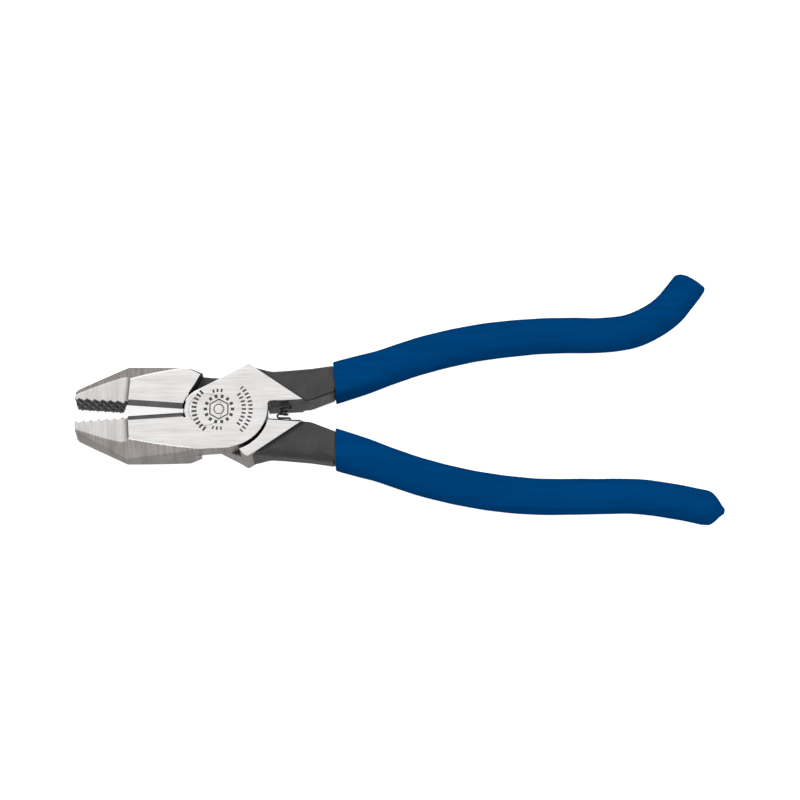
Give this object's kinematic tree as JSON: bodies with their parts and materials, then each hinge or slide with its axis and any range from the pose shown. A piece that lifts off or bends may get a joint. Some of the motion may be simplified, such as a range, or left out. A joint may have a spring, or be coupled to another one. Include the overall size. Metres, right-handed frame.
{
  "type": "ironworker's side-cutting pliers",
  "caption": "Steel side-cutting pliers with cross-cut jaws, knives near the front face, an opening spring and dipped vinyl grips, one handle bent into a hook.",
  "frame": {"origin": "on the rivet's axis, in the plane of the ground rear face", "axes": "+X along the tool towards the handles, +Y towards the hooked handle, +Z out of the front face"},
  "size_m": [0.2391, 0.0967, 0.016],
  "materials": {
    "front_steel": "ground bright on the head, black oxide on the tang",
    "rear_steel": "ground bright on the head, black oxide on the tang",
    "rivet_steel": "headed hot and ground flush",
    "spring_wire": "oiled black wire",
    "grip_vinyl": "dipped vinyl, satin gloss"
  },
  "bodies": {
    "front_half": {"front_forging": "front_steel", "rivet": "rivet_steel", "hooked_grip": "grip_vinyl", "opening_spring": "spring_wire"},
    "rear_half": {"rear_forging": "rear_steel", "plain_grip": "grip_vinyl"}
  },
  "joints": [
    {"name": "jaw_pivot", "type": "hinge", "parent": "front_half", "child": "rear_half", "pos_m": [0, 0, 0.008], "axis": [0, 0, -1], "range_deg": [-8, 30], "stiffness_Nm_per_rad": 3, "deforming": ["opening_spring"]}
  ]
}
